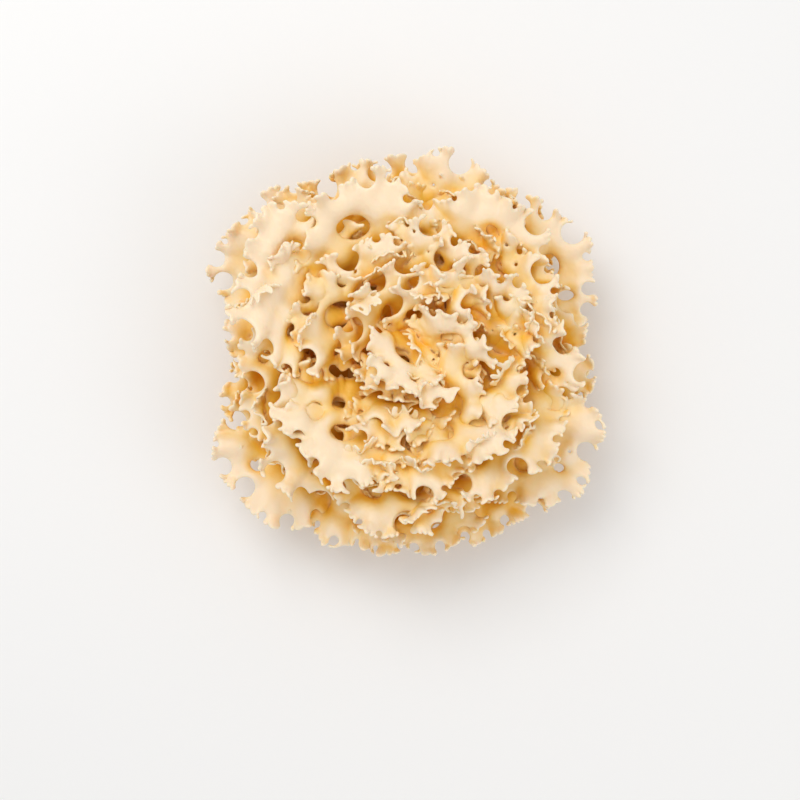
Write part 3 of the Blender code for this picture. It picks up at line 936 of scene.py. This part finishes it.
def make_stem():
    rows = stem_points()
    count = rows.shape[0] * STEM_SIDES
    points = np.concatenate([rows.reshape(-1, 3), [[0, 0, STEM_PROFILE[0][1]], [0, 0, 0]]])
    index = np.arange(count).reshape(-1, STEM_SIDES)
    upper, lower = index[:-1], index[1:]
    after_upper, after_lower = np.roll(upper, -1, 1), np.roll(lower, -1, 1)
    sides = np.concatenate([np.stack([upper, lower, after_lower], -1).reshape(-1, 3),
                            np.stack([upper, after_lower, after_upper], -1).reshape(-1, 3)])
    top = np.stack([np.full(STEM_SIDES, count), index[0], np.roll(index[0], -1)], 1)
    base = np.stack([np.full(STEM_SIDES, count + 1), np.roll(index[-1], -1), index[-1]], 1)
    stem = mesh_object("stem", points, np.concatenate([sides, top, base]))
    bpy.context.scene.collection.objects.link(stem)
    return stem


stem = make_stem()
print("stem:", len(stem.data.polygons), "faces")

# %% [markdown]
# ## How sheltered each point is
# Deep in the head the light has passed through flesh several times, and comes out amber. A renderer can
# follow that light, but slowly and with noise, so the colour itself leans amber where a point is sheltered.
# A coarse grid counts how much skin fills each small cube, and walks through it in many directions add up
# how much of the sky is hidden from each point.

# %% How crowded each small cube is
CELL = 2.5
GRID_LOW = np.array([-96.0, -96.0, -12.0])
GRID_SHAPE = (77, 77, 40)
CLEARNESS = 4.0


def skin_points(item):
    mesh = item.data
    points = np.empty(len(mesh.vertices) * 3, np.float32)
    mesh.vertices.foreach_get("co", points)
    normals = np.empty(len(mesh.vertices) * 3, np.float32)
    mesh.vertex_normals.foreach_get("vector", normals)
    return points.reshape(-1, 3) / MM, normals.reshape(-1, 3)


def crowding_grid(items):
    crowd = np.zeros(GRID_SHAPE, np.float32)
    for item in items:
        areas = np.empty(len(item.data.polygons), np.float32)
        item.data.polygons.foreach_get("area", areas)
        centres = np.empty(len(item.data.polygons) * 3, np.float32)
        item.data.polygons.foreach_get("center", centres)
        cell = ((centres.reshape(-1, 3) / MM - GRID_LOW) / CELL).astype(int)
        np.add.at(crowd, tuple(cell.T), areas / MM ** 2)
    crowd /= CLEARNESS * CELL ** 3
    for axis in range(3):
        crowd = 0.5 * crowd + 0.25 * (np.roll(crowd, 1, axis) + np.roll(crowd, -1, axis))
    return crowd


crowd = crowding_grid(skins + [stem])
print("cubes with flesh:", int((crowd > 0).sum()), "of", crowd.size)

# %% Shelter and distance to a rim, stored on every point
WALK = 3.0
WALK_STEPS = 13
SKY = 16
SKY_DEPTH = 1.15
LIFT = 1.5
BACK_LIGHT = 0.25
RIM_DISTANCE = 5.0


def sky_directions():
    k = np.arange(SKY) + 0.5
    height = 1 - SKY_DEPTH * k / SKY
    turn = math.pi * (1 + math.sqrt(5)) * k
    across = np.sqrt(np.clip(1 - height ** 2, 0, 1))
    return np.stack([across * np.cos(turn), across * np.sin(turn), height], 1).astype(np.float32)


def shelter_of(points, normals):
    seen = np.zeros(len(points), np.float32)
    total = np.zeros(len(points), np.float32)
    for direction in sky_directions():
        weight = BACK_LIGHT + np.clip(normals @ direction, 0, 1)
        hidden = np.zeros(len(points), np.float32)
        for k in range(WALK_STEPS):
            spot = points + normals * LIFT + direction * (WALK * (k + 1.0))
            cell = np.clip(((spot - GRID_LOW) / CELL).astype(int), 0, np.array(GRID_SHAPE) - 1)
            hidden += crowd[cell[:, 0], cell[:, 1], cell[:, 2]] * WALK
        seen += weight * np.exp(-hidden)
        total += weight
    return 1 - seen / total


rims = np.concatenate(rim_points)
rim_tree = KDTree(len(rims))
for k, point in enumerate(rims):
    rim_tree.insert(point, k)
rim_tree.balance()
shelters = []
for item in skins + [stem]:
    points, normals = skin_points(item)
    shelter = shelter_of(points, normals)
    to_rim = np.array([rim_tree.find(point)[2] for point in points], np.float32)
    for attribute, values in (("shelter", shelter), ("to_rim", np.clip(to_rim / RIM_DISTANCE, 0, 1))):
        layer = item.data.attributes.new(attribute, "FLOAT", "POINT")
        layer.data.foreach_set("value", values.astype(np.float32))
    shelters.append(shelter)
tenths = np.percentile(np.concatenate(shelters), range(0, 101, 10))
print("shelter, tenths of the points:", np.round(tenths, 2))

# %% [markdown]
# ## Flesh
# Fresh flesh is ivory, waxy and faintly see-through. Its colour is painted bright where it is open to the
# light and honey to amber, and darker, deep among the fronds: painted shade, and the painted glow of light
# passed through flesh.
# Along the thin rims it is painted palest, as light shining through the thin edge. Principled with subsurface
# scattering is the usual way to get wax and flesh. Low bump at two scales gives the smooth face its slight
# unevenness.

# %% Nodes with their values, noise, bump and a colour ramp
def add_node(tree, kind, inputs=(), **settings):
    node = tree.nodes.new(kind)
    for key, value in settings.items():
        setattr(node, key, value)
    for socket, value in dict(inputs).items():
        node.inputs[socket].default_value = value
    return node


def add_noise(tree, place, scale, detail):
    noise = add_node(tree, "ShaderNodeTexNoise", {"Scale": scale, "Detail": detail})
    tree.links.new(place.outputs["Object"], noise.inputs["Vector"])
    return noise


def add_bump(tree, noise, strength, distance):
    bump = add_node(tree, "ShaderNodeBump", {"Strength": strength, "Distance": distance})
    tree.links.new(noise.outputs["Fac"], bump.inputs["Height"])
    return bump


def colour_ramp(tree, stops):
    ramp = add_node(tree, "ShaderNodeValToRGB")
    while len(ramp.color_ramp.elements) < len(stops):
        ramp.color_ramp.elements.new(0.5)
    for element, (position, colour) in zip(ramp.color_ramp.elements, stops):
        element.position = position
        element.color = (*colour, 1.0)
    return ramp


# %% The flesh material
# Painted shade: the more sheltered a point, the darker and more amber its colour, standing in for shade and
# for light passed through flesh.
SHELTER_SHADE_COLOURS = [
    (0.24, (0.945, 0.765, 0.545)),
    (0.44, (0.955, 0.690, 0.290)),
    (0.60, (0.970, 0.580, 0.075)),
    (0.82, (0.950, 0.475, 0.025)),
]
# Painted glow: near a rim the colour is mixed towards this pale one, as light shining through the thin edge,
# even where it is sheltered.
RIM_GLOW_COLOUR = (0.990, 0.860, 0.690)
RIM_PALENESS = 0.42
RIM_WIDTH = 0.45
MOTTLE = 0.16
MOTTLE_NOISE = (70.0, 3.0)
LUMP_NOISE = (190.0, 2.0)
LUMP_BUMP = (0.45, 1.2 * MM)
GRAIN_NOISE = (420.0, 4.0)
GRAIN_BUMP = (0.22, 0.4 * MM)
ROUGHNESS = (0.36, 0.58)


# Painted shade from the shelter value, shifted by a random mottle of tone.
def mottled_painted_shade(tree, place, stops):
    shelter = add_node(tree, "ShaderNodeAttribute", attribute_name="shelter")
    mottle = add_noise(tree, place, *MOTTLE_NOISE)
    shift = add_node(tree, "ShaderNodeMath", {1: MOTTLE}, operation="MULTIPLY_ADD")
    tree.links.new(mottle.outputs["Fac"], shift.inputs[0])
    tree.links.new(shelter.outputs["Fac"], shift.inputs[2])
    centred = add_node(tree, "ShaderNodeMath", {1: MOTTLE / 2}, operation="SUBTRACT")
    tree.links.new(shift.outputs[0], centred.inputs[0])
    ramp = colour_ramp(tree, stops)
    tree.links.new(centred.outputs[0], ramp.inputs["Fac"])
    return ramp.outputs["Color"]


# Painted glow at the thin rims: the colour is made paler towards a rim, over any painted shade there.
def painted_rim_glow(tree, colour, rim_glow_colour):
    to_rim = add_node(tree, "ShaderNodeAttribute", attribute_name="to_rim")
    fade = add_node(tree, "ShaderNodeMapRange", {"From Min": 0.0, "From Max": RIM_WIDTH,
                                                 "To Min": RIM_PALENESS, "To Max": 0.0})
    tree.links.new(to_rim.outputs["Fac"], fade.inputs["Value"])
    paler = add_node(tree, "ShaderNodeMix", data_type="RGBA")
    paler.inputs[7].default_value = (*rim_glow_colour, 1.0)
    tree.links.new(fade.outputs["Result"], paler.inputs[0])
    tree.links.new(colour, paler.inputs[6])
    return paler.outputs[2]


def make_flesh(name, stops, rim_glow_colour):
    material = bpy.data.materials.new(name)
    material.use_nodes = True
    tree = material.node_tree
    shader = tree.nodes["Principled BSDF"]
    place = add_node(tree, "ShaderNodeTexCoord")
    colour = painted_rim_glow(tree, mottled_painted_shade(tree, place, stops), rim_glow_colour)
    tree.links.new(colour, shader.inputs["Base Color"])
    grain = add_noise(tree, place, *GRAIN_NOISE)
    rough = add_node(tree, "ShaderNodeMapRange", {"To Min": ROUGHNESS[0], "To Max": ROUGHNESS[1]})
    tree.links.new(grain.outputs["Fac"], rough.inputs["Value"])
    tree.links.new(rough.outputs["Result"], shader.inputs["Roughness"])
    lumps = add_bump(tree, add_noise(tree, place, *LUMP_NOISE), *LUMP_BUMP)
    fine = add_bump(tree, grain, *GRAIN_BUMP)
    tree.links.new(lumps.outputs["Normal"], fine.inputs["Normal"])
    tree.links.new(fine.outputs["Normal"], shader.inputs["Normal"])
    shader.inputs["Subsurface Weight"].default_value = 0.40
    shader.inputs["Subsurface Radius"].default_value = (1.0, 0.70, 0.45)
    shader.inputs["Subsurface Scale"].default_value = 1.2 * MM
    shader.inputs["Specular IOR Level"].default_value = 0.42
    return material


flesh = make_flesh("ivory flesh", SHELTER_SHADE_COLOURS, RIM_GLOW_COLOUR)
print("flesh nodes:", len(flesh.node_tree.nodes))

# %% [markdown]
# ## The stem's own skin
# The stem is older flesh: tan and a little rough, painted browner and more orange where it is sheltered under
# the head and down to the cut: painted shade.

# %% The stem material
# Painted shade on the stem: tan where open, orange-brown where sheltered.
STEM_TAN_AND_SHADE_COLOURS = [
    (0.20, (0.740, 0.540, 0.300)),
    (0.60, (0.800, 0.500, 0.200)),
    (0.90, (0.800, 0.400, 0.070)),
]
# Painted rim glow on the stem too, where a frond's rim comes near it.
STEM_RIM_GLOW_COLOUR = (0.760, 0.560, 0.320)
stem_skin = make_flesh("stem flesh", STEM_TAN_AND_SHADE_COLOURS, STEM_RIM_GLOW_COLOUR)
print("stem nodes:", len(stem_skin.node_tree.nodes))

# %% [markdown]
# ## Putting the pieces on the part
# Every piece gets smooth shading and its material, rides on the head's only body and replaces the packed
# node.

# %% Materials, bodies and the replaced node
body = list(frame["bodies"])[0]
for item in skins + [stem]:
    item.data.materials.clear()
    item.data.materials.append(stem_skin if item is stem else flesh)
    item.data.shade_smooth()
    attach(item, body)
    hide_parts(NODE)
print("pieces on", body, ":", [item.name for item in skins + [stem]])

# %% [markdown]
# ## Floor, light and camera
# The photo is a studio picture from straight above: a white ground, soft light, hardly a shadow. A broad
# lamp high on one side shapes the fronds, a weaker one opposite fills the shade, and the pale world around
# them lights the recesses. The studio's lengths are in metres.

# %% The studio
FLOOR_HALF = 3.0
GROUND_WHITE = 0.90
WORLD_LIGHT = 0.67
MIDDLE_HEIGHT = 0.040
Lamp = namedtuple("Lamp", "name place size power colour")
LAMPS = [
    Lamp("broad lamp", (-0.30, 0.42, 0.80), 0.55, 3.5, (1.0, 0.985, 0.96)),
    Lamp("fill lamp", (0.60, -0.35, 0.60), 0.60, 1.2, (1.0, 0.97, 0.93)),
]


def make_floor():
    mesh = bpy.data.meshes.new("floor")
    corners = [(-1, -1), (1, -1), (1, 1), (-1, 1)]
    mesh.from_pydata([(x * FLOOR_HALF, y * FLOOR_HALF, 0) for x, y in corners], [], [(0, 1, 2, 3)])
    floor = bpy.data.objects.new("floor", mesh)
    bpy.context.scene.collection.objects.link(floor)
    paper = bpy.data.materials.new("white ground")
    paper.use_nodes = True
    shader = paper.node_tree.nodes["Principled BSDF"]
    shader.inputs["Base Color"].default_value = (GROUND_WHITE, GROUND_WHITE, GROUND_WHITE, 1.0)
    shader.inputs["Roughness"].default_value = 0.9
    mesh.materials.append(paper)
    return floor


def make_lamp(lamp):
    light = bpy.data.lights.new(lamp.name, "AREA")
    light.size = lamp.size
    light.energy = lamp.power
    light.color = lamp.colour
    holder = bpy.data.objects.new(lamp.name, light)
    holder.location = lamp.place
    holder.rotation_mode = "QUATERNION"
    holder.rotation_quaternion = (Vector((0, 0, MIDDLE_HEIGHT)) - Vector(lamp.place)).to_track_quat("-Z", "Y")
    bpy.context.scene.collection.objects.link(holder)
    return holder


floor = make_floor()
lamps = [make_lamp(lamp) for lamp in LAMPS]
world = bpy.data.worlds.new("studio")
world.use_nodes = True
world.node_tree.nodes["Background"].inputs["Color"].default_value = (1.0, 1.0, 1.0, 1.0)
world.node_tree.nodes["Background"].inputs["Strength"].default_value = WORLD_LIGHT
bpy.context.scene.world = world
bpy.context.scene.view_settings.view_transform = "Standard"
bpy.context.scene.view_settings.look = "None"
print("lamps:", [(lamp.name, lamp.data.energy) for lamp in lamps])

# %% The camera straight above, framed as the photo is
SENSOR_WIDTH = 36.0
FRAME_WIDTH = 0.310
CAMERA_HEIGHT = 0.95
LOOK_AT = (-0.0028, -0.0163)

camera_data = bpy.data.cameras.new("camera")
camera_data.sensor_width = SENSOR_WIDTH
camera_data.lens = SENSOR_WIDTH * (CAMERA_HEIGHT - MIDDLE_HEIGHT) / FRAME_WIDTH
camera_data.clip_start = 0.01
camera_data.clip_end = 20.0
camera = bpy.data.objects.new("camera", camera_data)
camera.matrix_world = Matrix.Translation((*LOOK_AT, CAMERA_HEIGHT))
bpy.context.scene.collection.objects.link(camera)
bpy.context.scene.camera = camera
print("lens, mm:", round(camera_data.lens, 1))
